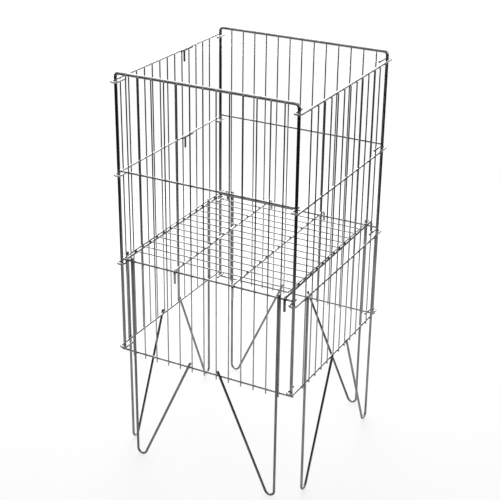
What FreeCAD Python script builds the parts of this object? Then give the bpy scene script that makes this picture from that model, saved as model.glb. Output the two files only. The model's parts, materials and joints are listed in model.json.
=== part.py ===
import FreeCAD, Part
import math
import os

import Sketcher

# Folding wire dump bin: four welded wire panels hooked round each other's corner posts,
# eight hairpin legs and a wire shelf that hangs on the front and back panels.
# X runs along the front from left to right, Y from front to back, Z up from the floor.
# The origin is on the floor under the middle of the bin.

os.makedirs("parts", exist_ok=True)
doc = FreeCAD.newDocument("dump_bin")

# ---------------------------------------------------------------- driving dimensions, mm and degrees

SIZES = {
    "panel_width": 368,        # corner post centre to corner post centre along the front
    "panel_depth": 382,        # corner post centre to corner post centre front to back
    "total_height": 800,       # floor to the top of the front and back frames
    "post_diameter": 6,        # rod of the front and back frames
    "rail_diameter": 4,        # horizontal rails
    "thin_diameter": 2.5,      # upright wires and the shelf's cross wires
    "leg_diameter": 5,         # hairpin legs
    "shelf_diameter": 5,       # front to back wires of the shelf
    "frame_bend": 7,           # centre line radius of the frames' top corners
    "weld_sink": 0.1,          # how far two welded wires sink into each other
    "mid_rail_level": 610,
    "shelf_rail_level": 430,
    "bottom_rail_level": 233,
    "side_top_drop": 15.5,     # the side rails lie this far below the front and back ones
    "side_mid_drop": 8,
    "side_shelf_drop": 8.5,
    "side_bottom_rise": 7,     # the lowest side rail lies above the lowest front rail
    "rail_overhang": 5,        # lowest front and back rails run this far past the posts
    "front_end_gap": 24.3,     # post to the first upright wire, front and back
    "side_end_gap": 29,        # post to the first upright wire, sides
    "front_wire_tail": 8,      # upright wires below the lowest rail, front and back
    "side_wire_tail": 4,       # the same at the sides
    "hook_offset": 6.5,        # side rail centre line outside the post centre
    "hook_reach": 8.5,         # hook centre line past the post centre
    "hook_return": 23,         # the hook's cut end, back from the post centre
    "hook_bend": 6.25,         # centre line radius of the hook
    "front_leg_gap": 27.9,     # post to the leg's upright limb, front and back
    "side_front_leg_gap": 36,  # front post to the side panels' front leg
    "side_rear_leg_gap": 32.6, # back post to the side panels' rear leg
    "leg_bend": 10,            # centre line radius of the hairpin at the floor
    "front_leg_lean": 24.3,    # angle of a sloping limb from the vertical, front and back
    "side_leg_lean": 23.8,     # the same at the sides
    "front_limb_rise": 9,      # front and back upright limbs end this far above the shelf rail
    "front_slope_rise": 12,    # and their sloping limbs this far above the lowest rail
    "side_leg_rise": 6,        # both limbs of a side leg end this far above their rails
    "shelf_clearance": 0.3,    # between a shelf wire and the rail that it hangs on
    "shelf_front_tail": 22,    # front hook's end below the rail centre
    "shelf_rear_tail": 13,     # rear hook's end below the rail centre
    "shelf_rear_bend": 10,     # centre line radius of the rear hooks, wider than the front ones
    "shelf_outer_gap": 15.2,   # post to the outer shelf wires
    "shelf_inner_gap": 122.2,  # post to the inner shelf wires
    "cross_gap": 25.9,         # posts to the first and the last cross wire
    "cross_overhang": 4,       # cross wires past the outer shelf wires
    "edge_gap": 10,            # posts to the cut ends of the shelf's edge wires
    "splice_length": 41,       # short rod welded across the joint in a left rail
    "splice_lead": 13.5,       # the part of it in front of the joint
    "joint_tail": 25,          # turned down end of a left rail's rear length
    "joint_bend": 4,           # centre line radius of that turn
    "joint_setback": 4.5,      # turned down end behind the joint wire
}
WIRE_COUNT = 13                # upright wires in a panel
JOINT_WIRE = 8                 # upright wire, counted from 0, where the two left rails are joined
CROSS_COUNT = 14               # cross wires of the shelf
NEARLY_ZERO = 1e-9             # a coordinate below this lies on an axis

sizes = doc.addObject("Spreadsheet::Sheet", "sizes")
for row, (alias, value) in enumerate(SIZES.items(), start=1):
    sizes.set("A%d" % row, alias)
    sizes.set("B%d" % row, str(value))
    sizes.setAlias("B%d" % row, alias)
doc.recompute()

# Expressions that several pieces share. Every one is read from the sheet.
WIDTH = "sizes.panel_width"
DEPTH = "sizes.panel_depth"
POST_R = "sizes.post_diameter / 2"
RAIL_R = "sizes.rail_diameter / 2"
THIN_R = "sizes.thin_diameter / 2"
LEG_R = "sizes.leg_diameter / 2"
SHELF_R = "sizes.shelf_diameter / 2"
TOP_LEVEL = "(sizes.total_height - sizes.post_diameter / 2)"
SIDE_LEVELS = {
    "top": "(%s - sizes.side_top_drop)" % TOP_LEVEL,
    "mid": "(sizes.mid_rail_level - sizes.side_mid_drop)",
    "shelf": "(sizes.shelf_rail_level - sizes.side_shelf_drop)",
    "bottom": "(sizes.bottom_rail_level + sizes.side_bottom_rise)",
}
FRONT_PITCH = "(sizes.panel_width - 2 * sizes.front_end_gap) / %d" % (WIRE_COUNT - 1)
SIDE_PITCH = "(sizes.panel_depth - 2 * sizes.side_end_gap) / %d" % (WIRE_COUNT - 1)
JOINT_PLACE = "(sizes.side_end_gap + %d * %s)" % (JOINT_WIRE, SIDE_PITCH)

nodes = []


def number(text):
    """Value of an expression that reads the sheet."""
    value = sizes.evalExpression(text)
    return float(getattr(value, "Value", value))


def place(item, start):
    """Bind an object's position, given from the front left post's foot, to the sheet."""
    for axis, text, middle in zip("xyz", start, (WIDTH + " / 2", DEPTH + " / 2", "0")):
        item.setExpression("Placement.Base." + axis, "%s - %s" % (text, middle))


# ---------------------------------------------------------------- straight wires

DIRECTIONS = {
    "x": FreeCAD.Rotation(FreeCAD.Vector(0, 1, 0), 90),
    "y": FreeCAD.Rotation(FreeCAD.Vector(1, 0, 0), -90),
    "z": FreeCAD.Rotation(),
}


def straight_wire(label, direction, start, length, radius):
    """A round rod from start along one axis."""
    rod = doc.addObject("Part::Cylinder", label)
    rod.Placement = FreeCAD.Placement(FreeCAD.Vector(), DIRECTIONS[direction])
    rod.setExpression("Radius", radius)
    rod.setExpression("Height", length)
    place(rod, start)
    return rod


def straight_node(label, direction, start, length, radius):
    """A straight rod that is a sub-part of its own."""
    rod = straight_wire(label, direction, start, length, radius)
    rod.Label = label
    nodes.append(rod)
    return rod


# ---------------------------------------------------------------- bent wires

def attach(sketch, body, role):
    """Lay a sketch on one of its own body's origin planes."""
    for feature in body.Origin.OriginFeatures:
        if feature.Role == role:
            sketch.AttachmentSupport = [(feature, "")]
    sketch.MapMode = "FlatFace"


def bend(before, corner, after, radius):
    """Tangent points, arc and turning sense where two runs meet at a corner."""
    into = (corner - before).normalize()
    out = (after - corner).normalize()
    turn = into.getAngle(out)
    reach = radius * math.tan(turn / 2)
    left = into.x * out.y - into.y * out.x > 0
    side = 1 if left else -1
    first = corner - into * reach
    last = corner + out * reach
    centre = first + FreeCAD.Vector(-into.y, into.x, 0) * (side * radius)
    start_angle = math.atan2(first.y - centre.y, first.x - centre.x)
    end_angle = math.atan2(last.y - centre.y, last.x - centre.x)
    if not left:
        start_angle, end_angle = end_angle, start_angle
    circle = Part.Circle(centre, FreeCAD.Vector(0, 0, 1), radius)
    return first, last, Part.ArcOfCircle(circle, start_angle, end_angle), left


def pin_coordinate(sketch, axis, item, position, text):
    """Hold one coordinate of a sketch point at an expression."""
    value = number(text)
    if abs(value) < NEARLY_ZERO:
        axis_line = {"X": -2, "Y": -1}[axis]
        sketch.addConstraint(Sketcher.Constraint("PointOnObject", item, position, axis_line))
        return
    index = sketch.addConstraint(Sketcher.Constraint("Distance" + axis, -1, 1, item, position, value))
    sketch.setExpression("Constraints[%d]" % index, text)


def path_sketch(body, name, plane, points, radii):
    """Centre line from the body's origin: straight runs joined by tangent arcs."""
    sketch = body.newObject("Sketcher::SketchObject", name)
    attach(sketch, body, plane)
    spots = [FreeCAD.Vector()] + [FreeCAD.Vector(number(u), number(v)) for u, v in points]
    bends = [bend(a, b, c, number(radius))
             for a, b, c, radius in zip(spots, spots[1:], spots[2:], radii)]
    starts = [spots[0]] + [item[1] for item in bends]
    ends = [item[0] for item in bends] + [spots[-1]]
    lines = [sketch.addGeometry(Part.LineSegment(a, b), False) for a, b in zip(starts, ends)]
    arcs = [sketch.addGeometry(item[2], False) for item in bends]
    corners = [sketch.addGeometry(Part.Point(spot), True) for spot in spots[1:-1]]
    sketch.addConstraint(Sketcher.Constraint("Coincident", lines[0], 1, -1, 1))
    for index, arc in enumerate(arcs):
        into, out = (1, 2) if bends[index][3] else (2, 1)
        before, after = lines[index], lines[index + 1]
        sketch.addConstraint(Sketcher.Constraint("Tangent", before, 2, arc, into))
        sketch.addConstraint(Sketcher.Constraint("Tangent", arc, out, after, 1))
        held = sketch.addConstraint(Sketcher.Constraint("Radius", arc, number(radii[index])))
        sketch.setExpression("Constraints[%d]" % held, radii[index])
        sketch.addConstraint(Sketcher.Constraint("PointOnObject", corners[index], 1, before))
        sketch.addConstraint(Sketcher.Constraint("PointOnObject", corners[index], 1, after))
        pin_coordinate(sketch, "X", corners[index], 1, points[index][0])
        pin_coordinate(sketch, "Y", corners[index], 1, points[index][1])
    pin_coordinate(sketch, "X", lines[-1], 2, points[-1][0])
    pin_coordinate(sketch, "Y", lines[-1], 2, points[-1][1])
    return sketch


def bent_wire(label, start, section_plane, runs, radius):
    """A round wire swept along one or more centre lines that begin at start.

    A run is its plane, its corners and end, and the bend radius at each corner.
    """
    body = doc.addObject("PartDesign::Body", label)
    body.Label = label
    place(body, start)
    section = body.newObject("Sketcher::SketchObject", label + "_section")
    attach(section, body, section_plane)
    circle = Part.Circle(FreeCAD.Vector(), FreeCAD.Vector(0, 0, 1), number(radius))
    ring = section.addGeometry(circle, False)
    section.addConstraint(Sketcher.Constraint("Coincident", ring, 3, -1, 1))
    held = section.addConstraint(Sketcher.Constraint("Radius", ring, number(radius)))
    section.setExpression("Constraints[%d]" % held, radius)
    for index, (plane, points, radii) in enumerate(runs):
        path = path_sketch(body, "%s_path_%d" % (label, index), plane, points, radii)
        sweep = body.newObject("PartDesign::AdditivePipe", "%s_sweep_%d" % (label, index))
        sweep.Profile = section
        sweep.Spine = path
        sweep.Transition = "Transformed"
    nodes.append(body)
    return body


# ---------------------------------------------------------------- front and back panels

def outward(side, base, distance):
    """Y of something that lies outside a panel's plane by distance."""
    return "%s %s (%s)" % (base, "-" if side < 0 else "+", distance)


def frame_panel(name, side, base):
    """Bent frame, three straight rails, thirteen upright wires and two hairpin legs."""
    rail_plane = outward(side, base, "%s - %s" % (POST_R, RAIL_R))
    wire_plane = outward(side, base, "%s + %s - sizes.weld_sink" % (POST_R, THIN_R))
    leg_plane = outward(side, base, "%s + %s - sizes.weld_sink" % (POST_R, LEG_R))
    post_end = "(sizes.bottom_rail_level + %s - sizes.weld_sink)" % RAIL_R
    rise = "%s - %s" % (TOP_LEVEL, post_end)
    outline = [("0", rise), (WIDTH, rise), (WIDTH, "0")]
    bent_wire(name + "_frame", ("0", base, post_end), "XY_Plane",
              [("XZ_Plane", outline, ["sizes.frame_bend"] * 2)], POST_R)

    inset = "(%s - 2 * sizes.weld_sink)" % POST_R
    for level in ("mid", "shelf"):
        straight_node("%s_%s_rail" % (name, level), "x",
                      (inset, rail_plane, "sizes.%s_rail_level" % level),
                      "%s - 2 * %s" % (WIDTH, inset), RAIL_R)
    straight_node(name + "_bottom_rail", "x",
                  ("-sizes.rail_overhang", rail_plane, "sizes.bottom_rail_level"),
                  "%s + 2 * sizes.rail_overhang" % WIDTH, RAIL_R)

    foot = "(sizes.bottom_rail_level - sizes.front_wire_tail)"
    upright_wires(name, "x", FRONT_PITCH, "sizes.front_end_gap", wire_plane, foot, TOP_LEVEL)
    for hand, limb, sense in (("left", "sizes.front_leg_gap", 1),
                              ("right", "(%s - sizes.front_leg_gap)" % WIDTH, -1)):
        hairpin_leg("%s_leg_%s" % (name, hand), "XZ_Plane", (limb, leg_plane),
                    (sense, "sizes.front_leg_lean"),
                    "(sizes.shelf_rail_level + sizes.front_limb_rise)",
                    "(sizes.bottom_rail_level + sizes.front_slope_rise)")


def upright_wires(name, along, pitch, gap, plane, foot, top):
    """Thirteen equal upright wires, evenly spaced, as one sub-part of separate rods."""
    rods = []
    for index in range(WIRE_COUNT):
        spot = "%s + %d * %s" % (gap, index, pitch)
        start = (spot, plane, foot) if along == "x" else (plane, spot, foot)
        rods.append(straight_wire("%s_wire_%02d" % (name, index), "z", start,
                                  "%s - %s" % (top, foot), THIN_R))
    group = doc.addObject("Part::Compound", name + "_wires")
    group.Label = name + "_wires"
    group.Links = rods
    nodes.append(group)
    return group


def hairpin_leg(label, plane, spot, lean, top, slope_end):
    """Upright limb from its top to a tight bend on the floor, then a sloping limb back up.

    The lean is the side that the sloping limb goes to, 1 or -1, and its angle.
    """
    sense, angle = lean
    corner = "(sizes.leg_bend + %s - sizes.leg_bend / tan(%s / 2))" % (LEG_R, angle)
    across = "(%s - %s) * tan(%s)" % (slope_end, corner, angle)
    points = [("0", "%s - %s" % (corner, top)),
              ("%d * %s" % (sense, across), "%s - %s" % (slope_end, top))]
    bent_wire(label, (spot[0], spot[1], top), "XY_Plane",
              [(plane, points, ["sizes.leg_bend"])], LEG_R)


frame_panel("front", -1, "0")
frame_panel("back", 1, DEPTH)

# ---------------------------------------------------------------- side panels

def rail_x(side, distance):
    """X of something outside a side panel's posts by distance."""
    return "-(%s)" % distance if side < 0 else "%s + (%s)" % (WIDTH, distance)


def hooked_rail(label, side, level):
    """Side rail whose two ends hook round the corner posts and point back inside."""
    inner = rail_x(side, "-sizes.hook_offset")
    over = "%d * 2 * sizes.hook_offset" % side
    near = "-(sizes.hook_return + sizes.hook_reach)"
    far = "%s - sizes.hook_return + sizes.hook_reach" % DEPTH
    points = [("0", near), (over, near), (over, far), ("0", far),
              ("0", "%s - 2 * sizes.hook_return" % DEPTH)]
    bent_wire(label, (inner, "sizes.hook_return", level), "XZ_Plane",
              [("XY_Plane", points, ["sizes.hook_bend"] * 4)], RAIL_R)


def jointed_rail(label, level):
    """Left rail in two lengths that meet behind one upright wire, with a rod welded across."""
    inner = rail_x(-1, "-sizes.hook_offset")
    outer = rail_x(-1, "sizes.hook_offset")
    over = "-2 * sizes.hook_offset"
    near = "-(sizes.hook_return + sizes.hook_reach)"
    meeting = "%s + %s - sizes.hook_return" % (JOINT_PLACE, THIN_R)
    front = [("0", near), (over, near), (over, meeting)]
    bent_wire(label + "_front", (inner, "sizes.hook_return", level), "XZ_Plane",
              [("XY_Plane", front, ["sizes.hook_bend"] * 2)], RAIL_R)

    lead = "2 * sizes.joint_bend"
    seam = "(%s + sizes.joint_setback + %s)" % (JOINT_PLACE, lead)
    far = "%s + sizes.hook_reach - %s" % (DEPTH, seam)
    back = [("0", far), ("2 * sizes.hook_offset", far),
            ("2 * sizes.hook_offset", "%s - sizes.hook_return - %s" % (DEPTH, seam))]
    tail = [("-%s" % lead, "0"), ("-%s" % lead, "-sizes.joint_tail")]
    bent_wire(label + "_rear", (outer, seam, level), "XZ_Plane",
              [("XY_Plane", back, ["sizes.hook_bend"] * 2),
               ("YZ_Plane", tail, ["sizes.joint_bend"])], RAIL_R)

    beside = rail_x(-1, "sizes.hook_offset - sizes.rail_diameter + sizes.weld_sink / 4")
    straight_node(label + "_splice", "y",
                  (beside, "%s - sizes.splice_lead" % JOINT_PLACE, level),
                  "sizes.splice_length", RAIL_R)


def side_fittings(name, side):
    """Upright wires and two hairpin legs, welded to the outside of the rails."""
    face = "sizes.hook_offset + %s" % RAIL_R
    wire_plane = rail_x(side, "%s + %s - sizes.weld_sink" % (face, THIN_R))
    leg_plane = rail_x(side, "%s + %s - sizes.weld_sink" % (face, LEG_R))
    foot = "(%s - sizes.side_wire_tail)" % SIDE_LEVELS["bottom"]
    upright_wires(name, "y", SIDE_PITCH, "sizes.side_end_gap", wire_plane, foot,
                  SIDE_LEVELS["top"])
    top, slope_end = ("(%s + sizes.side_leg_rise)" % SIDE_LEVELS[level]
                      for level in ("shelf", "bottom"))
    for end, limb, sense in (("front", "sizes.side_front_leg_gap", 1),
                             ("rear", "(%s - sizes.side_rear_leg_gap)" % DEPTH, -1)):
        hairpin_leg("%s_leg_%s" % (name, end), "YZ_Plane", (leg_plane, limb),
                    (sense, "sizes.side_leg_lean"), top, slope_end)


for rail_name, rail_level in SIDE_LEVELS.items():
    hooked_rail("right_%s_rail" % rail_name, 1, rail_level)
    if rail_name in ("top", "mid"):
        jointed_rail("left_%s_rail" % rail_name, rail_level)
    else:
        hooked_rail("left_%s_rail" % rail_name, -1, rail_level)
side_fittings("right", 1)
side_fittings("left", -1)

# ---------------------------------------------------------------- hanging shelf

RAIL_SHIFT = "(%s - %s)" % (POST_R, RAIL_R)
SHELF_LIFT = "(%s + %s + sizes.shelf_clearance)" % (RAIL_R, SHELF_R)
# The rear rail lies where the wider rear bend begins, so the shelf stands higher at the back.
SHELF_RISE = "(sizes.shelf_rear_bend - %s)" % SHELF_LIFT
SHELF_SPAN = "(%s + 2 * %s + 2 * %s)" % (DEPTH, RAIL_SHIFT, SHELF_LIFT)


def shelf_hook_wire(label, x):
    """Front to back wire whose ends hook down outside the front and back shelf rails."""
    start = (x, "-(%s + %s)" % (RAIL_SHIFT, SHELF_LIFT),
             "sizes.shelf_rail_level - sizes.shelf_front_tail")
    drop = "(sizes.shelf_front_tail + %s)" % SHELF_LIFT
    points = [("0", drop), (SHELF_SPAN, "%s + %s" % (drop, SHELF_RISE)),
              (SHELF_SPAN, "sizes.shelf_front_tail - sizes.shelf_rear_tail")]
    bent_wire(label, start, "XY_Plane",
              [("YZ_Plane", points, [SHELF_LIFT, "sizes.shelf_rear_bend"])], SHELF_R)


def shelf_climb(y):
    """How much higher the shelf's wires stand at y than where they leave the front hook."""
    return "%s * (%s + %s + %s) / %s" % (SHELF_RISE, y, RAIL_SHIFT, SHELF_LIFT, SHELF_SPAN)


def cross_wire(label, y):
    """Thin wire welded on top of the four shelf wires."""
    left_end = "(sizes.shelf_outer_gap - sizes.cross_overhang)"
    level = "sizes.shelf_rail_level + %s + %s + %s + %s - sizes.weld_sink" % (
        SHELF_LIFT, shelf_climb(y), SHELF_R, THIN_R)
    straight_node(label, "x", (left_end, y, level), "%s - 2 * %s" % (WIDTH, left_end), THIN_R)


def edge_wire(label, x):
    """Thin wire welded over the ends of the cross wires, above an outer shelf wire."""
    length = "(%s - 2 * sizes.edge_gap)" % DEPTH
    level = "sizes.shelf_rail_level + %s + %s + %s + 3 * %s - 2 * sizes.weld_sink" % (
        SHELF_LIFT, shelf_climb("sizes.edge_gap"), SHELF_R, THIN_R)
    rise = "%s * %s / %s" % (SHELF_RISE, length, SHELF_SPAN)
    bent_wire(label, (x, "sizes.edge_gap", level), "XZ_Plane",
              [("YZ_Plane", [(length, rise)], [])], THIN_R)


hook_places = ("sizes.shelf_outer_gap", "sizes.shelf_inner_gap",
               "%s - sizes.shelf_inner_gap" % WIDTH, "%s - sizes.shelf_outer_gap" % WIDTH)
for place_index, hook_place in enumerate(hook_places, start=1):
    shelf_hook_wire("shelf_hook_wire_%d" % place_index, hook_place)

CROSS_PITCH = "(%s - 2 * sizes.cross_gap) / %d" % (DEPTH, CROSS_COUNT - 1)
for cross_index in range(CROSS_COUNT):
    cross_wire("shelf_cross_wire_%02d" % (cross_index + 1),
               "sizes.cross_gap + %d * %s" % (cross_index, CROSS_PITCH))

edge_wire("shelf_edge_wire_left", hook_places[0])
edge_wire("shelf_edge_wire_right", hook_places[-1])

# ---------------------------------------------------------------- check and write

doc.recompute()
for item in doc.Objects:
    if "Invalid" in item.State or "Error" in item.State:
        raise RuntimeError("%s failed: %s" % (item.Label, item.State))
for node in nodes:
    if node.Shape.isNull() or not node.Shape.isValid():
        raise RuntimeError("%s has no valid shape" % node.Label)
    node.Shape.exportStep("parts/%s.step" % node.Label)
print("%d sub-parts written" % len(nodes))
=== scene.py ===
import bpy
import json
import math
import numpy as np
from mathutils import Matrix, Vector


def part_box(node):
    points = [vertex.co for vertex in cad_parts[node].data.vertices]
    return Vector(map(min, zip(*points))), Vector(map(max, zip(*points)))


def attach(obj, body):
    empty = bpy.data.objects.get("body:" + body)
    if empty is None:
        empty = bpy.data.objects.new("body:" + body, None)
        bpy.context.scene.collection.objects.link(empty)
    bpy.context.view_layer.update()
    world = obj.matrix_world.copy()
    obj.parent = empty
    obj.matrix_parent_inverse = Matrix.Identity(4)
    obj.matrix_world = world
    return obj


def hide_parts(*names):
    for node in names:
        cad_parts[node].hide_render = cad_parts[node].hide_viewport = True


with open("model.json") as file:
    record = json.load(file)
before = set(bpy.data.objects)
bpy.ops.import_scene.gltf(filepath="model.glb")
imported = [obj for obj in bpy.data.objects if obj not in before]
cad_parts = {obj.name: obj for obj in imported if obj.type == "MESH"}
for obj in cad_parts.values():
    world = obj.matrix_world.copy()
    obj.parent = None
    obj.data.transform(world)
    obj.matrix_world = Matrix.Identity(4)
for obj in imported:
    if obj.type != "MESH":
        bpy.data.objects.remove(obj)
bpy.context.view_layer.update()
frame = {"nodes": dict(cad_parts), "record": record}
bodyOfNode = {node: body for body, held in frame["record"]["behaviour"]["bodies"].items()
              for node in held}

mm = 0.001

# The camera stands 2.4 m from the bin's middle, right of the front, and looks down at it.
camera = {"place": (1.02641, -1.94171, 1.41453), "turn": (65.495, -0.646, 28.330),
          "lens": 87.54, "sensor": 36.0}
cameraData = bpy.data.cameras.new("camera")
cameraData.lens, cameraData.sensor_width = camera["lens"], camera["sensor"]
cameraData.clip_start, cameraData.clip_end = 0.05, 60
cameraObject = bpy.data.objects.new("camera", cameraData)
cameraObject.location = camera["place"]
cameraObject.rotation_euler = [math.radians(angle) for angle in camera["turn"]]
bpy.context.scene.collection.objects.link(cameraObject)
bpy.context.scene.camera = cameraObject
print("camera: placed")


def unit(vectors):
    # Each vector over its own length.
    return vectors / np.linalg.norm(vectors, axis=-1, keepdims=True)


# The surface of a wire: longest piece of a straight run, angle of an arc's pieces in degrees,
# chamfer of the cut ends, sides of each kind of wire, and a direction that no wire runs along.
rodDetail = {"spacing": 6 * mm, "arcStep": 9, "chamfer": 0.35 * mm,
             "reference": (1, 0.37, 0.61)}
roundness = {"frame": 24, "leg": 22, "rail": 18, "thin": 12}


def centreLine(corners, bends):
    # A wire's centre line at distance s: straight runs joined by tangent arcs. At a turn t the arc
    # of radius r starts r*tan(t/2) before the corner and goes through
    # start + r*sin(a)*into + r*(1-cos(a))*side with a = (s - s0)/r, and its direction is
    # cos(a)*into + sin(a)*side. A straight run is start + (s - s0)*into.
    spacing, chamfer = rodDetail["spacing"], rodDetail["chamfer"]
    corners = np.array(corners, float)
    directions = unit(np.diff(corners, axis=0))
    into, out = directions[:-1], directions[1:]
    cosine = np.clip((into * out).sum(1), -1, 1)
    turns = np.arccos(cosine)
    bends = np.broadcast_to(np.array(bends, float), turns.shape)
    side = unit(out - into * cosine[:, None]) if len(turns) else into
    reach = bends * np.tan(turns / 2)
    before = corners[1:-1] - into * reach[:, None]
    after = corners[1:-1] + out * reach[:, None]
    runStarts = np.vstack([corners[:1], after])
    runLengths = np.linalg.norm(np.vstack([before, corners[-1:]]) - runStarts, axis=1)
    count = 2 * len(turns) + 1
    starts, along, across = np.zeros((3, count, 3))
    lengths, radii = np.zeros(count), np.full(count, np.inf)
    starts[0::2], along[0::2], lengths[0::2] = runStarts, directions, runLengths
    starts[1::2], along[1::2], across[1::2] = before, into, side
    lengths[1::2], radii[1::2] = bends * turns, bends
    reached = np.concatenate([[0], np.cumsum(lengths)])
    steps = np.where(np.isinf(radii), spacing, radii * math.radians(rodDetail["arcStep"]))
    stations = np.unique(np.concatenate(
        [np.linspace(a, b, max(2, int(math.ceil((b - a) / step)) + 1))
         for a, b, step in zip(reached, reached[1:], steps)] + [[chamfer, reached[-1] - chamfer]]))
    stations = stations[np.concatenate([[True], np.diff(stations) > 1e-6])]
    which = np.clip(np.searchsorted(reached, stations, side="right") - 1, 0, count - 1)
    travel = stations - reached[which]
    radius = radii[which]
    bent = np.isfinite(radius)
    angle = np.where(bent, travel / radius, 0)
    size = np.where(bent, radius, 0)
    forward = np.where(bent, size * np.sin(angle), travel)
    points = (starts[which] + forward[:, None] * along[which]
              + (size * (1 - np.cos(angle)))[:, None] * across[which])
    tangents = np.cos(angle)[:, None] * along[which] + np.sin(angle)[:, None] * across[which]
    return stations, points, unit(tangents)


def tubeFaces(rings, columns):
    # Faces between rings of points, point j of ring i having the number i*columns + j, and a fan
    # over each end to the two points that come after the rings.
    row, column = np.meshgrid(np.arange(rings - 1), np.arange(columns), indexing="ij")
    row, column = row.ravel(), column.ravel()
    beside = (column + 1) % columns
    quads = np.stack([row * columns + column, row * columns + beside,
                      (row + 1) * columns + beside, (row + 1) * columns + column], 1)
    edge, following = np.arange(columns), (np.arange(columns) + 1) % columns
    last, tip = (rings - 1) * columns, rings * columns
    fans = np.vstack([np.stack([np.full(columns, tip), following, edge], 1),
                      np.stack([np.full(columns, tip + 1), last + edge, last + following], 1)])
    return row, column, quads, fans


def rodSurface(corners, radius, bends, sides):
    # A round wire: ring j at angle q is centre + R*(cos(q)*n + sin(q)*b), where n is the
    # reference direction less its share along the wire and b = tangent x n. R is the wire's
    # radius, less the chamfer at the two cut ends, and each end closes in a flat fan.
    stations, centres, tangents = centreLine(corners, bends)
    reference = unit(np.array(rodDetail["reference"], float))
    normals = unit(reference - (tangents @ reference)[:, None] * tangents)
    binormals = np.cross(tangents, normals)
    ringRadius = np.full(len(stations), radius)
    ringRadius[[0, -1]] -= rodDetail["chamfer"]
    turn = 2 * math.pi * np.arange(sides) / sides
    rings = centres[:, None] + ringRadius[:, None, None] * (
        np.cos(turn)[None, :, None] * normals[:, None]
        + np.sin(turn)[None, :, None] * binormals[:, None])
    points = np.vstack([rings.reshape(-1, 3), centres[[0, -1]]])
    row, column, quads, fans = tubeFaces(len(stations), sides)
    around = 2 * math.pi * radius / mm / sides
    skin = np.stack([np.stack([column, column + 1, column + 1, column], 1) * around,
                     np.stack([stations[row], stations[row], stations[row + 1],
                               stations[row + 1]], 1) / mm], 2)
    flat = (points[fans] - points[fans].mean((0, 1))) @ np.stack([normals[0], binormals[0]], 1) / mm
    cut = np.zeros(len(points))
    cut[np.r_[0:sides, -sides - 2:0]] = 1
    return {"points": points, "quads": quads, "triangles": fans, "quadSkin": skin,
            "triangleSkin": flat, "cut": cut}


def copies(surface, shifts):
    # The same surface at each shift, as one: point + shift, with the face numbers moved on.
    shifts = np.array(shifts, float)
    size = len(surface["points"])
    step = (np.arange(len(shifts)) * size)[:, None, None]
    return {"points": (surface["points"][None] + shifts[:, None]).reshape(-1, 3),
            "quads": (surface["quads"][None] + step).reshape(-1, 4),
            "triangles": (surface["triangles"][None] + step).reshape(-1, 3),
            "quadSkin": np.tile(surface["quadSkin"], (len(shifts), 1, 1)),
            "triangleSkin": np.tile(surface["triangleSkin"], (len(shifts), 1, 1)),
            "cut": np.tile(surface["cut"], len(shifts))}


def nodeBox(node):
    lowest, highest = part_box(node)
    return np.array(lowest), np.array(highest)


def straightLine(node):
    # Two end points and the radius of a straight rod, from its node's box.
    lowest, highest = nodeBox(node)
    size, middle = highest - lowest, (highest + lowest) / 2
    along = int(np.argmax(size))
    first, last = middle.copy(), middle.copy()
    first[along], last[along] = lowest[along], highest[along]
    return [first, last], np.delete(size, along).mean() / 2


# Bends of the formed wires, all at the wire's centre line. A leg's sloping limb leans by its
# angle and ends its rise above the lowest rail. The shelf's rear hooks end rearTail below the rail.
forming = {"frameBend": 7 * mm, "hookBend": 6.25 * mm, "hookLength": 31.5 * mm,
           "legBend": 10 * mm, "frontLean": math.radians(24.3), "sideLean": math.radians(23.8),
           "frontRise": 12 * mm, "sideRise": 6 * mm, "shelfFrontBend": 4.8 * mm,
           "shelfRearBend": 10 * mm, "rearTail": 13 * mm, "jointBend": 4 * mm}
wireCount = 13
alongOf = {"front": 0, "back": 0, "right": 1, "left": 1}
levels = ("top", "mid", "shelf", "bottom")


def frameLine(node):
    # Post, top rod and post: up, across and down.
    lowest, highest = nodeBox(node)
    radius = (highest[1] - lowest[1]) / 2
    left, right = lowest[0] + radius, highest[0] - radius
    y, top = lowest[1] + radius, highest[2] - radius
    line = [(left, y, lowest[2]), (left, y, top), (right, y, top), (right, y, lowest[2])]
    return line, radius, [forming["frameBend"]] * 2


def hookedLine(node, side):
    # Side rail: inside the front post, round it, along the panel, round the back post.
    lowest, highest = nodeBox(node)
    radius = (highest[2] - lowest[2]) / 2
    z = (highest[2] + lowest[2]) / 2
    outer, inner = (highest[0] - radius, lowest[0] + radius)[::side]
    near, far = lowest[1] + radius, highest[1] - radius
    line = [(inner, near + forming["hookLength"], z), (inner, near, z), (outer, near, z),
            (outer, far, z), (inner, far, z), (inner, far - forming["hookLength"], z)]
    return line, radius, [forming["hookBend"]] * 4


def hookedFrontLine(node):
    # Front length of a jointed left rail: one hook and a straight run to the joint.
    lowest, highest = nodeBox(node)
    radius = (highest[2] - lowest[2]) / 2
    z = (highest[2] + lowest[2]) / 2
    inner, outer, near = highest[0] - radius, lowest[0] + radius, lowest[1] + radius
    line = [(inner, near + forming["hookLength"], z), (inner, near, z), (outer, near, z),
            (outer, highest[1], z)]
    return line, radius, [forming["hookBend"]] * 2


def hookedRearLine(node):
    # Rear length: turned down at the joint, along the panel, round the back post.
    lowest, highest = nodeBox(node)
    splice = straightLine(node.replace("rear", "splice"))
    radius = splice[1]
    z = highest[2] - radius
    inner, outer = highest[0] - radius, lowest[0] + radius
    near, far = lowest[1] + radius, highest[1] - radius
    line = [(outer, near, lowest[2]), (outer, near, z), (outer, far, z), (inner, far, z),
            (inner, far - forming["hookLength"], z)]
    return line, radius, [forming["jointBend"], forming["hookBend"], forming["hookBend"]]


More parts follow.
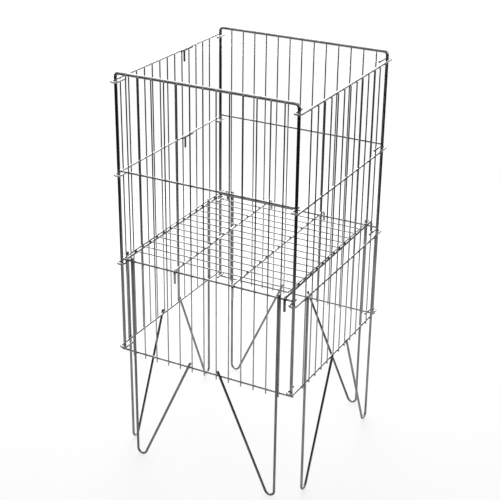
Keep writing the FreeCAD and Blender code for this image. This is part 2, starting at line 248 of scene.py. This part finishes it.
def legLine(node, panel):
    # Hairpin: upright limb, bend on the floor, sloping limb that leans towards the middle. The
    # two limbs' lines meet at the height radius + r - r/tan(lean/2), for a bend of radius r.
    lowest, highest = nodeBox(node)
    across = alongOf[panel]
    kind, flat = ("front", "side")[across], 1 - across
    radius = (highest[flat] - lowest[flat]) / 2
    inward = -1 if node.endswith(("right", "rear")) else 1
    limb = lowest[across] + radius if inward > 0 else highest[across] - radius
    bend, lean = forming["legBend"], forming[kind + "Lean"]
    corner = bend + radius - bend / math.tan(lean / 2)
    slopeEnd = railHeight(panel, "bottom") + forming[kind + "Rise"]
    shift = inward * (slopeEnd - corner) * math.tan(lean)
    line = np.zeros((3, 3))
    line[:, flat] = (highest[flat] + lowest[flat]) / 2
    line[:, across] = limb, limb, limb + shift
    line[:, 2] = highest[2], corner, slopeEnd
    return line, radius, [bend]


def shelfHookLine(node):
    # Up from the front hook's end, over the front rail, back over the rear rail and down. The
    # front bend is round the rail, and the wider rear bend ends about level with the rear rail.
    lowest, highest = nodeBox(node)
    radius = (highest[0] - lowest[0]) / 2
    x, rail = lowest[0] + radius, railHeight("front", "shelf")
    near, far = lowest[1] + radius, highest[1] - radius
    bends = [forming["shelfFrontBend"], forming["shelfRearBend"]]
    line = [(x, near, lowest[2]), (x, near, rail + bends[0]), (x, far, rail + bends[1]),
            (x, far, rail - forming["rearTail"])]
    return line, radius, bends


def shelfEdgeLine(node):
    # Thin wire along the shelf's edge, from its low front end to its high rear end.
    lowest, highest = nodeBox(node)
    radius = (highest[0] - lowest[0]) / 2
    x = lowest[0] + radius
    return [(x, lowest[1], lowest[2] + radius), (x, highest[1], highest[2] - radius)], radius


def panelWireSurface(node, along):
    # Thirteen equal upright wires, evenly spaced between the two ends of the node's box.
    lowest, highest = nodeBox(node)
    radius = (highest[1 - along] - lowest[1 - along]) / 2
    first = (lowest + highest) / 2
    first[along] = lowest[along] + radius
    bottom, top = first.copy(), first.copy()
    bottom[2], top[2] = lowest[2], highest[2]
    pitch = (highest[along] - lowest[along] - 2 * radius) / (wireCount - 1)
    shifts = np.zeros((wireCount, 3))
    shifts[:, along] = pitch * np.arange(wireCount)
    places = first[along] + shifts[:, along]
    return copies(rodSurface([bottom, top], radius, (), roundness["thin"]), shifts), places


# Weld nuggets, in millimetres. The half sizes of wire and leg run along the rail, through the
# panel and up, the others along X, Y and Z. The top row lies topDrop under the top rail's middle,
# a post's foot has its nugget footShift further in than midway between post and wires, and those
# of a splice lie spliceInset from its ends. Each half size is multiplied by a random number
# between the two shares.
nuggets = {"wire": (2.1, 1.15, 2.3), "leg": (3.2, 1.4, 2.9), "railEnd": (1.1, 2.5, 2.5),
           "postFoot": (3.3, 2.9, 1.1), "splice": (0.9, 3.6, 1.5), "shelf": (1.3, 1.3, 0.5),
           "topDrop": 0.7, "footShift": 0.5, "spliceInset": 5, "shares": (0.9, 1.08),
           "columns": 8, "rows": 3}


def nuggetSize(kind, along=0):
    # Half sizes along X, Y and Z, turned for a panel that runs along Y.
    size = np.array(nuggets[kind]) * mm
    return size[[1, 0, 2]] if along else size


def weldSpots(panel):
    # Every welded crossing of a panel: middle, half sizes along X, Y and Z.
    along = alongOf[panel]
    outward = 1 if panel in ("back", "right") else -1
    spots = []
    face = nodeBox(panel + "_wires")[0 if outward > 0 else 1][1 - along]
    uprights = panelWireSurface(panel + "_wires", along)[1]
    legs = [legLine(node, panel)[0] for node in frame["nodes"]
            if node.startswith(panel + "_leg")]

    def addSpot(place, height, kind):
        # A weld on the face where wires and rails touch, at a place along the panel.
        spot = np.zeros(3)
        spot[along], spot[1 - along], spot[2] = place, face, height
        spots.append((spot, nuggetSize(kind, along)))

    for level in levels:
        z = railHeight(panel, level)
        lower = nuggets["topDrop"] * mm if level == "top" else 0
        for place in uprights:
            addSpot(place, z - lower, "wire")
        for line in legs:
            if level in ("shelf", "bottom"):
                addSpot(line[0][along], z, "leg")
            if level == "bottom":
                corner, end = line[1], line[2]
                addSpot(corner[along] + (z - corner[2]) / (end[2] - corner[2])
                        * (end[along] - corner[along]), z, "leg")
    if along == 0:
        post, postRadius = frameLine(panel + "_frame")[:2]
        footY = (post[0][1] + face) / 2 - outward * nuggets["footShift"] * mm
        for x, inside in ((post[0][0], 1), (post[2][0], -1)):
            for level in ("mid", "shelf"):
                rail = straightLine("%s_%s_rail" % (panel, level))[0]
                spots.append((np.array([x + inside * postRadius, rail[0][1], rail[0][2]]),
                              nuggetSize("railEnd")))
            spots.append((np.array([x, footY, post[0][2]]), nuggetSize("postFoot")))
    if panel == "left":
        inset = nuggets["spliceInset"] * mm
        for level in ("top", "mid"):
            splice, radius = straightLine("left_%s_rail_splice" % level)
            for y in (splice[0][1] + inset, splice[1][1] - inset):
                spots.append((np.array([splice[0][0] - radius, y, splice[0][2]]),
                              nuggetSize("splice")))
    return spots


def railHeight(panel, level):
    # Height of a rail's centre line.
    if panel in ("front", "back"):
        if level == "top":
            return frameLine(panel + "_frame")[0][1][2]
        return straightLine("%s_%s_rail" % (panel, level))[0][0][2]
    name = "%s_%s_rail" % (panel, level)
    name = name if name in frame["nodes"] else name + "_front"
    return sum(nodeBox(name))[2] / 2


def shelfWeldSpots():
    # The cross wires lie on the four hook wires, and the two edge wires lie on the cross wires:
    # one small weld at each of the eighty four crossings.
    spots = []
    for cross in [node for node in frame["nodes"] if node.startswith("shelf_cross")]:
        line, radius = straightLine(cross)
        for node in frame["nodes"]:
            if node.startswith(("shelf_hook", "shelf_edge")):
                side = -1 if node.startswith("shelf_hook") else 1
                x = sum(nodeBox(node))[0] / 2
                spots.append((np.array([x, line[0][1], line[0][2] + side * radius]),
                              nuggetSize("shelf")))
    return spots


def nuggetSurface(spots, seed):
    # Weld nuggets: ellipsoids m + (a*cos(v)*cos(u), b*cos(v)*sin(u), c*sin(v)) round each
    # crossing, with the three half sizes a little different from weld to weld.
    middles = np.array([spot[0] for spot in spots])
    sizes = np.array([spot[1] for spot in spots])
    sizes = sizes * np.random.default_rng(seed).uniform(*nuggets["shares"], sizes.shape)
    columns, rows = nuggets["columns"], nuggets["rows"]
    u = 2 * math.pi * np.arange(columns) / columns
    v = math.pi * (np.arange(1, rows + 1) / (rows + 1) - 0.5)
    shape = np.stack([np.cos(v)[:, None] * np.cos(u), np.cos(v)[:, None] * np.sin(u),
                      np.sin(v)[:, None] * np.ones(columns)], 2).reshape(-1, 3)
    shape = np.vstack([shape, (0, 0, -1), (0, 0, 1)])
    points = (middles[:, None] + sizes[:, None] * shape[None]).reshape(-1, 3)
    quads, fans = tubeFaces(rows, columns)[2:]
    step = (np.arange(len(middles)) * len(shape))[:, None, None]
    quads, fans = (quads[None] + step).reshape(-1, 4), (fans[None] + step).reshape(-1, 3)
    return {"points": points, "quads": quads, "triangles": fans,
            "quadSkin": points[quads][:, :, :2] / mm, "triangleSkin": points[fans][:, :, :2] / mm,
            "cut": np.zeros(len(points))}


# How far a weld, a corner hook and the floor mark the wire, the angle above which an edge stays
# sharp, and how many points are measured at a time.
traces = {"weldReach": 5 * mm, "hookReach": 9 * mm, "floorReach": 7 * mm, "sharpAngle": 40,
          "block": 4000}


def nearestGap(points, places):
    # Distance from each point to the nearest of the places, in blocks to spare memory.
    blocks = np.array_split(points, len(points) // traces["block"] + 1)
    return np.concatenate([np.linalg.norm(block[:, None] - places[None], axis=2).min(1)
                           for block in blocks])


def addPiece(name, surface, body, material, spots, nodes=()):
    # The surface as a mesh on its body. Each point also carries how near it is to a weld,
    # exp(-(distance/weldReach)^2), whether it belongs to a cut end, and how far it is rubbed:
    # near a corner hook exp(-(distance/hookReach)^2), and at the foot 1 - z/floorReach.
    points, quads, triangles = surface["points"], surface["quads"], surface["triangles"]
    mesh = bpy.data.meshes.new(name)
    corners = np.concatenate([quads.ravel(), triangles.ravel()])
    starts = np.concatenate([4 * np.arange(len(quads)),
                             4 * len(quads) + 3 * np.arange(len(triangles))])
    mesh.vertices.add(len(points))
    mesh.vertices.foreach_set("co", points.astype(np.float32).ravel())
    mesh.loops.add(len(corners))
    mesh.loops.foreach_set("vertex_index", corners.astype(np.int32))
    mesh.polygons.add(len(starts))
    mesh.polygons.foreach_set("loop_start", starts.astype(np.int32))
    mesh.update(calc_edges=True)
    skin = mesh.uv_layers.new(name="wireSkin")
    skin.data.foreach_set("uv", np.concatenate(
        [surface["quadSkin"].ravel(), surface["triangleSkin"].ravel()]).astype(np.float32))
    places = np.array([spot[0] for spot in spots])
    heat = np.exp(-(nearestGap(points, places) / traces["weldReach"]) ** 2)
    hooked = np.exp(-(nearestGap(points, hookPlaces) / traces["hookReach"]) ** 2)
    rubbed = np.maximum(hooked, np.clip(1 - points[:, 2] / traces["floorReach"], 0, 1))
    for label, values in (("weldHeat", heat), ("cutEnd", surface["cut"]), ("rubbed", rubbed)):
        layer = mesh.attributes.new(label, "FLOAT", "POINT")
        layer.data.foreach_set("value", values.astype(np.float32))
    mesh.polygons.foreach_set("use_smooth", np.ones(len(starts), bool))
    mesh.set_sharp_from_angle(angle=math.radians(traces["sharpAngle"]))
    mesh.materials.append(material)
    piece = bpy.data.objects.new(name, mesh)
    bpy.context.scene.collection.objects.link(piece)
    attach(piece, body)
    if nodes:
        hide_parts(*nodes)


def linearColour(code):
    # sRGB hex to linear: c/12.92 up to 0.04045, above that ((c + 0.055)/1.055)^2.4.
    values = np.array([int(code[i:i + 2], 16) for i in (1, 3, 5)]) / 255
    linear = np.where(values <= 0.04045, values / 12.92, ((values + 0.055) / 1.055) ** 2.4)
    return (*linear.tolist(), 1.0)


def addNode(tree, kind, settings=None, inputs=None):
    # One node with its settings; an input is a value or another node's output socket.
    node = tree.nodes.new(kind)
    for key, value in (settings or {}).items():
        setattr(node, key, value)
    for key, value in (inputs or {}).items():
        if isinstance(value, bpy.types.NodeSocket):
            tree.links.new(value, node.inputs[key])
        else:
            node.inputs[key].default_value = value
    return node


def emptyTree(owner):
    # The node tree of a material or a world, with nothing in it.
    owner.use_nodes = True
    owner.node_tree.nodes.clear()
    return owner.node_tree


# What all the finishes share. A Detail pair is a noise's detail and roughness, a Range pair the
# part of a noise that is spread over the whole range, and a Relief pair a bump's strength and its
# depth in millimetres. The waves' depth is in the finish, and waveAcross is how fast they change
# round the wire. pitSize is in millimetres, weldTint is the most colour that a weld takes, and
# markRoughness is what a full weld, cut or rub adds to the roughness.
plating = {"lineDetail": (3.0, 0.55), "cloudDetail": (2.5, 0.5), "pitDetail": (2.0, 0.6),
           "pitSize": 1.1, "cloudRange": (0.3, 0.7), "lineRange": (0.25, 0.75),
           "weldTint": 0.55, "markRoughness": 0.22, "waveAcross": 0.06, "waveDetail": 1.0,
           "waveRelief": 1.0, "lineRelief": (0.6, 0.03), "pitRelief": (0.35, 0.06)}


def platedSteel(name, look):
    # Drawn steel wire, bent, spot welded and bright zinc plated: a grey mirror with cloudy patches
    # and fine die lines along the wire, dull rings at the welds, dull cut ends, and feet and hooks
    # that are rubbed bright. Sockets 6 and 7 of a Mix node are its colours, output 2 the mixed one.
    material = bpy.data.materials.new(name)
    tree = emptyTree(material)
    place = addNode(tree, "ShaderNodeTexCoord").outputs["Object"]
    skin = addNode(tree, "ShaderNodeUVMap", {"uv_map": "wireSkin"}).outputs["UV"]
    heat, cut, rubbed = [addNode(tree, "ShaderNodeAttribute", {"attribute_name": layer})
                         .outputs["Fac"] for layer in ("weldHeat", "cutEnd", "rubbed")]

    # Die lines, about lineGap apart and lineLength long in millimetres, drawn coarse to show.
    stretched = addNode(tree, "ShaderNodeMapping", inputs={
        "Vector": skin, "Scale": (1 / look["lineGap"], 1 / look["lineLength"], 1)})
    lines = addNode(tree, "ShaderNodeTexNoise", {"noise_dimensions": "2D"}, {
        "Vector": stretched.outputs[0], "Scale": 1.0, "Detail": plating["lineDetail"][0],
        "Roughness": plating["lineDetail"][1]})
    # Clouds of the plate, about cloudSize millimetres across.
    clouds = addNode(tree, "ShaderNodeTexNoise", inputs={
        "Vector": place, "Scale": 1 / (look["cloudSize"] * mm),
        "Detail": plating["cloudDetail"][0], "Roughness": plating["cloudDetail"][1]})
    # Small pits and dust specks.
    specks = addNode(tree, "ShaderNodeTexNoise", inputs={
        "Vector": place, "Scale": 1 / (plating["pitSize"] * mm),
        "Detail": plating["pitDetail"][0], "Roughness": plating["pitDetail"][1]})
    scuffed = addNode(tree, "ShaderNodeMath", {"operation": "MULTIPLY"},
                      {0: rubbed, 1: specks.outputs["Fac"]})

    tone = addNode(tree, "ShaderNodeMapRange", inputs={
        "Value": clouds.outputs["Fac"], "From Min": plating["cloudRange"][0],
        "From Max": plating["cloudRange"][1]})
    plate = addNode(tree, "ShaderNodeMix", {"data_type": "RGBA"}, {
        "Factor": tone.outputs[0], 6: linearColour(look["dark"]), 7: linearColour(look["light"])})
    greyLines = addNode(tree, "ShaderNodeRGBToBW", inputs={"Color": lines.outputs["Color"]})
    lined = addNode(tree, "ShaderNodeMix", {"data_type": "RGBA", "blend_type": "OVERLAY"}, {
        "Factor": look["lineTint"], 6: plate.outputs[2], 7: greyLines.outputs[0]})
    weldShare = addNode(tree, "ShaderNodeMath", {"operation": "MULTIPLY"},
                        {0: heat, 1: plating["weldTint"]})
    dulled = addNode(tree, "ShaderNodeMix", {"data_type": "RGBA"}, {
        "Factor": weldShare.outputs[0], 6: lined.outputs[2], 7: linearColour(look["weld"])})
    ended = addNode(tree, "ShaderNodeMix", {"data_type": "RGBA"}, {
        "Factor": cut, 6: dulled.outputs[2], 7: linearColour(look["end"])})
    worn = addNode(tree, "ShaderNodeMix", {"data_type": "RGBA"}, {
        "Factor": scuffed.outputs[0], 6: ended.outputs[2], 7: linearColour(look["rubbed"])})

    rough = addNode(tree, "ShaderNodeMapRange", inputs={
        "Value": lines.outputs["Fac"], "From Min": plating["lineRange"][0],
        "From Max": plating["lineRange"][1], "To Min": look["roughness"][0],
        "To Max": look["roughness"][1]})
    marks = addNode(tree, "ShaderNodeMath", {"operation": "ADD"}, {0: heat, 1: cut})
    marks = addNode(tree, "ShaderNodeMath", {"operation": "ADD"},
                    {0: marks.outputs[0], 1: scuffed.outputs[0]})
    rougher = addNode(tree, "ShaderNodeMath", {"operation": "MULTIPLY_ADD", "use_clamp": True},
                      {0: marks.outputs[0], 1: plating["markRoughness"], 2: rough.outputs[0]})

    # The wire is very slightly wavy along its length, with shallow die lines and pits.
    waves = addNode(tree, "ShaderNodeMapping", inputs={
        "Vector": skin, "Scale": (plating["waveAcross"], 1 / look["waveLength"], 1)})
    wavy = addNode(tree, "ShaderNodeTexNoise", {"noise_dimensions": "2D"}, {
        "Vector": waves.outputs[0], "Scale": 1.0, "Detail": plating["waveDetail"]})
    wavySteel = addNode(tree, "ShaderNodeBump", inputs={
        "Strength": plating["waveRelief"], "Distance": look["waveDepth"] * mm,
        "Height": wavy.outputs["Fac"]})
    lineSteel = addNode(tree, "ShaderNodeBump", inputs={
        "Strength": plating["lineRelief"][0], "Distance": plating["lineRelief"][1] * mm,
        "Height": lines.outputs["Fac"], "Normal": wavySteel.outputs[0]})
    pitted = addNode(tree, "ShaderNodeBump", inputs={
        "Strength": plating["pitRelief"][0], "Distance": plating["pitRelief"][1] * mm,
        "Height": specks.outputs["Fac"], "Normal": lineSteel.outputs[0]})

    shader = addNode(tree, "ShaderNodeBsdfPrincipled", inputs={
        "Metallic": 1.0, "Base Color": worn.outputs[2], "Roughness": rougher.outputs[0],
        "Normal": pitted.outputs[0]})
    addNode(tree, "ShaderNodeOutputMaterial", inputs={"Surface": shader.outputs[0]})
    return material


# Finish of each wire size: the thin wires are lighter than the heavy rods. Below them come three
# copies of the same plate with light painted into their colour: painted shade on a rougher thin
# wire copy and on a heavy rod copy, for single wires that the light leaves darker, and a painted
# highlight on a thin wire copy, for single wires that the light makes brighter.
heavyRod = {"lineGap": 0.45, "lineLength": 45.0, "lineTint": 0.22, "cloudSize": 30.0,
            "waveLength": 70.0, "waveDepth": 0.3}
midRod = {"lineGap": 0.4, "lineLength": 40.0, "lineTint": 0.22, "cloudSize": 26.0,
          "waveLength": 60.0, "waveDepth": 0.25}
thinWire = {"lineGap": 0.3, "lineLength": 35.0, "lineTint": 0.2, "cloudSize": 24.0,
            "waveLength": 48.0, "waveDepth": 0.2}
finishes = {
    "plated_rod": {"dark": "#6c6e71", "light": "#828487", "weld": "#7c7a77", "end": "#3c3c3d",
                   "rubbed": "#a8a7a4", "roughness": (0.14, 0.24), **heavyRod},
    "plated_rail": {"dark": "#707275", "light": "#888a8d", "weld": "#7a7875", "end": "#3c3c3d",
                    "rubbed": "#b4b3b0", "roughness": (0.14, 0.24), **midRod},
    "plated_thin_wire": {"dark": "#808285", "light": "#96989b", "weld": "#868480",
                         "end": "#c4c4c2", "rubbed": "#b0afac", "roughness": (0.16, 0.26),
                         **thinWire, "waveDepth": 0.12},
    "plated_shelf_wire": {"dark": "#7e8083", "light": "#94969a", "weld": "#8a8986",
                          "end": "#3c3c3d", "rubbed": "#b0afac", "roughness": (0.14, 0.24),
                          **thinWire},
    "plated_dull_wire": {"dark": "#434548", "light": "#525457", "weld": "#5a5958",
                         "end": "#3c3c3d", "rubbed": "#8c8b89", "roughness": (0.2, 0.3),
                         **thinWire, "waveDepth": 0.15},
    "plated_bright_wire": {"dark": "#9c9ea1", "light": "#b2b4b7", "weld": "#a3a29f",
                           "end": "#4c4c4d", "rubbed": "#c0bfbc", "roughness": (0.14, 0.24),
                           **thinWire},
    "plated_dark_rod": {"dark": "#595b5e", "light": "#6d6f72", "weld": "#6b6967",
                        "end": "#3c3c3d", "rubbed": "#a8a7a4", "roughness": (0.14, 0.24),
                        **heavyRod},
}
# The single wires that take the painted shade copies and the painted highlight copy.
singleWires = {"plated_dull_wire": ("shelf_edge_wire_left", "shelf_edge_wire_right",
                                    "left_top_rail_splice", "left_mid_rail_splice"),
               "plated_bright_wire": ("shelf_hook_wire_2", "shelf_hook_wire_3",
                                      "left_top_rail_front", "left_top_rail_rear",
                                      "left_mid_rail_front", "left_mid_rail_rear"),
               "plated_dark_rod": ("front_leg_left", "front_leg_right", "shelf_hook_wire_4")}
finishOfNode = {node: finish for finish, nodes in singleWires.items() for node in nodes}
steels = {slotName: platedSteel(slotName.replace("plated", "zincPlated"), look)
          for slotName, look in finishes.items()}
print("finishes:", len(steels), "plated steels")

# Where the side rails hook round the posts, and every weld.
postLine = frameLine("front_frame")[0]
hookPlaces = np.array([(x, y, railHeight("right", level)) for x in (postLine[0][0], postLine[2][0])
                       for y in (postLine[0][1], -postLine[0][1]) for level in levels])
welds = {panel: weldSpots(panel) for panel in alongOf}
welds["shelf"] = shelfWeldSpots()


def wireForm(node, panel):
    # Centre line, radius and bends of a node's wire, its number of sides and its slot.
    if node.endswith("_frame"):
        return *frameLine(node), roundness["frame"], "plated_rod"
    if "_leg_" in node:
        return *legLine(node, panel), roundness["leg"], "plated_rod"
    if node.startswith("shelf_hook"):
        return *shelfHookLine(node), roundness["rail"], "plated_shelf_wire"
    if node.startswith("shelf_cross"):
        return *straightLine(node), (), roundness["thin"], "plated_shelf_wire"
    if node.startswith("shelf_edge"):
        return *shelfEdgeLine(node), (), roundness["thin"], "plated_shelf_wire"
    if node.endswith("rail_front"):
        form = hookedFrontLine(node)
    elif node.endswith("rail_rear"):
        form = hookedRearLine(node)
    elif panel in ("left", "right") and not node.endswith("splice"):
        form = hookedLine(node, 1 if panel == "right" else -1)
    else:
        form = *straightLine(node), ()
    return *form, roundness["rail"], "plated_rail"


def buildNode(node):
    # The smooth wires that stand for one node, their finish and the welds that touch them.
    panel = node.split("_")[0]
    if node.endswith("_wires"):
        surface, slotName = panelWireSurface(node, alongOf[panel])[0], "plated_thin_wire"
    else:
        line, radius, bends, sides, slotName = wireForm(node, panel)
        surface = rodSurface(line, radius, bends, sides)
    steel = steels[finishOfNode.get(node, slotName)]
    addPiece("wire_" + node, surface, bodyOfNode[node], steel, welds[panel], [node])


for node in sorted(frame["nodes"]):
    buildNode(node)
print("wires:", len(frame["nodes"]), "sub-parts drawn")

for seed, (panel, spots) in enumerate(welds.items()):
    body = panel if panel == "shelf" else panel + "_panel"
    slotName = "plated_shelf_wire" if panel == "shelf" else "plated_rail"
    # The shelf's weld nuggets take the painted highlight copy of the plate.
    steel = steels["plated_bright_wire" if panel == "shelf" else slotName]
    addPiece(panel + "_weld_nuggets", nuggetSurface(spots, seed), body, steel, spots)
print("welds:", sum(len(spots) for spots in welds.values()))

# Stage: a wide pale floor that fades into the white backdrop, soft lamps, and a dark card round
# the bin that the camera doesn't see. The card shows only in the metal, so that bright wire
# reads dark against white.
stage = {"floorReach": 14.0, "rings": 24, "sectors": 48, "floor": "#f2f2f1",
         "floorGlow": 0.75, "fadeFrom": 0.7, "fadeTo": 1.8, "ambient": 0.4}
card = {"inner": 1.1, "outer": 3.0, "height": 1.3, "lift": 0.002, "from": -190, "to": 55,
        "steps": 49, "colour": "#383838"}
lamps = {"rearWindow": {"place": (-0.85, 1.5, 0.95), "aim": (0, 0, 0.5), "size": 1.4,
                        "power": 55},
         "overhead": {"place": (-0.45, 0.0, 2.0), "aim": (0, 0, 0.4), "size": 1.3, "power": 9},
         "right": {"place": (2.1, -0.3, 1.6), "aim": (0, 0, 0.4), "size": 0.9, "power": 6}}


def seenDirectly(tree):
    # One for rays from the camera, from glossy metal and through glass, otherwise nought.
    path = addNode(tree, "ShaderNodeLightPath")
    either = addNode(tree, "ShaderNodeMath", {"operation": "MAXIMUM"}, {
        0: path.outputs["Is Camera Ray"], 1: path.outputs["Is Glossy Ray"]})
    return addNode(tree, "ShaderNodeMath", {"operation": "MAXIMUM"}, {
        0: either.outputs[0], 1: path.outputs["Is Transmission Ray"]}).outputs[0]


def makeFloor():
    # A disc of rings: point (r*cos(q), r*sin(q), 0), with r growing as the square of the ring.
    rings, sectors = stage["rings"], stage["sectors"]
    reach = stage["floorReach"] * (np.arange(1, rings + 1) / rings) ** 2
    angle = 2 * math.pi * np.arange(sectors) / sectors
    points = np.stack([reach[:, None] * np.cos(angle), reach[:, None] * np.sin(angle),
                       np.zeros((rings, sectors))], 2).reshape(-1, 3)
    points = np.vstack([points, np.zeros(3)])
    row, column = np.meshgrid(np.arange(rings - 1), np.arange(sectors), indexing="ij")
    row, column = row.ravel(), column.ravel()
    beside = (column + 1) % sectors
    quads = np.stack([row * sectors + column, (row + 1) * sectors + column,
                      (row + 1) * sectors + beside, row * sectors + beside], 1)
    fans = np.stack([np.full(sectors, rings * sectors), np.arange(sectors),
                     (np.arange(sectors) + 1) % sectors], 1)
    mesh = bpy.data.meshes.new("floor")
    mesh.from_pydata(points.tolist(), [], quads.tolist() + fans.tolist())
    material = bpy.data.materials.new("paleMattFloor")
    tree = emptyTree(material)
    place = addNode(tree, "ShaderNodeTexCoord").outputs["Object"]
    distance = addNode(tree, "ShaderNodeVectorMath", {"operation": "LENGTH"}, {0: place})
    fade = addNode(tree, "ShaderNodeMapRange", {"interpolation_type": "SMOOTHSTEP"}, {
        "Value": distance.outputs["Value"], "From Min": stage["fadeFrom"],
        "From Max": stage["fadeTo"], "To Min": stage["floorGlow"]})
    share = addNode(tree, "ShaderNodeMath", {"operation": "MULTIPLY"},
                    {0: fade.outputs[0], 1: seenDirectly(tree)})
    matt = addNode(tree, "ShaderNodeBsdfDiffuse", inputs={"Color": linearColour(stage["floor"])})
    white = addNode(tree, "ShaderNodeEmission", inputs={"Strength": 1.0})
    mixed = addNode(tree, "ShaderNodeMixShader", inputs={
        0: share.outputs[0], 1: matt.outputs[0], 2: white.outputs[0]})
    addNode(tree, "ShaderNodeOutputMaterial", inputs={"Surface": mixed.outputs[0]})
    mesh.materials.append(material)
    floor = bpy.data.objects.new("floor", mesh)
    bpy.context.scene.collection.objects.link(floor)


def makeCard():
    # The card lies on the floor from its inner to its outer radius and stands up there: point
    # (r*cos(q), r*sin(q), z) for each of three (r, z) and each angle q of the part ring.
    angle = np.radians(np.linspace(card["from"], card["to"], card["steps"]))
    profile = ((card["inner"], card["lift"]), (card["outer"], card["lift"]),
               (card["outer"], card["height"]))
    points = np.vstack([np.stack([radius * np.cos(angle), radius * np.sin(angle),
                                  np.full(len(angle), z)], 1) for radius, z in profile])
    row, column = np.meshgrid(np.arange(2), np.arange(card["steps"] - 1), indexing="ij")
    first = (row * card["steps"] + column).ravel()
    quads = np.stack([first, first + card["steps"], first + card["steps"] + 1, first + 1], 1)
    mesh = bpy.data.meshes.new("darkCard")
    mesh.from_pydata(points.tolist(), [], quads.tolist())
    material = bpy.data.materials.new("darkPaperCard")
    tree = emptyTree(material)
    paper = addNode(tree, "ShaderNodeBsdfDiffuse", inputs={"Color": linearColour(card["colour"])})
    addNode(tree, "ShaderNodeOutputMaterial", inputs={"Surface": paper.outputs[0]})
    mesh.materials.append(material)
    darkCard = bpy.data.objects.new("darkCard", mesh)
    darkCard.visible_camera = darkCard.visible_diffuse = darkCard.visible_shadow = False
    bpy.context.scene.collection.objects.link(darkCard)


def makeLamp(name, lamp):
    data = bpy.data.lights.new(name, "AREA")
    data.size, data.energy = lamp["size"], lamp["power"]
    item = bpy.data.objects.new(name, data)
    item.location = lamp["place"]
    backward = unit(np.array(lamp["place"], float) - np.array(lamp["aim"], float))
    yaw = math.atan2(backward[1], backward[0])
    item.rotation_euler = (0, math.acos(backward[2]), yaw)
    item.visible_camera = False
    bpy.context.scene.collection.objects.link(item)


def makeWorld():
    # White where it is seen, in the picture and in the metal, and a plain soft light otherwise.
    world = bpy.data.worlds.new("studio")
    bpy.context.scene.world = world
    tree = emptyTree(world)
    white = addNode(tree, "ShaderNodeBackground", inputs={"Strength": 1.0, "Color": (1, 1, 1, 1)})
    soft = addNode(tree, "ShaderNodeBackground", inputs={
        "Strength": stage["ambient"], "Color": (1, 1, 1, 1)})
    mixed = addNode(tree, "ShaderNodeMixShader", inputs={
        0: seenDirectly(tree), 1: soft.outputs[0], 2: white.outputs[0]})
    addNode(tree, "ShaderNodeOutputWorld", inputs={"Surface": mixed.outputs[0]})


makeFloor()
makeCard()
for lampName, lampSettings in lamps.items():
    makeLamp(lampName, lampSettings)
makeWorld()
bpy.context.scene.view_settings.view_transform = "Standard"
print("stage: floor, dark card,", len(lamps), "lamps, white backdrop")
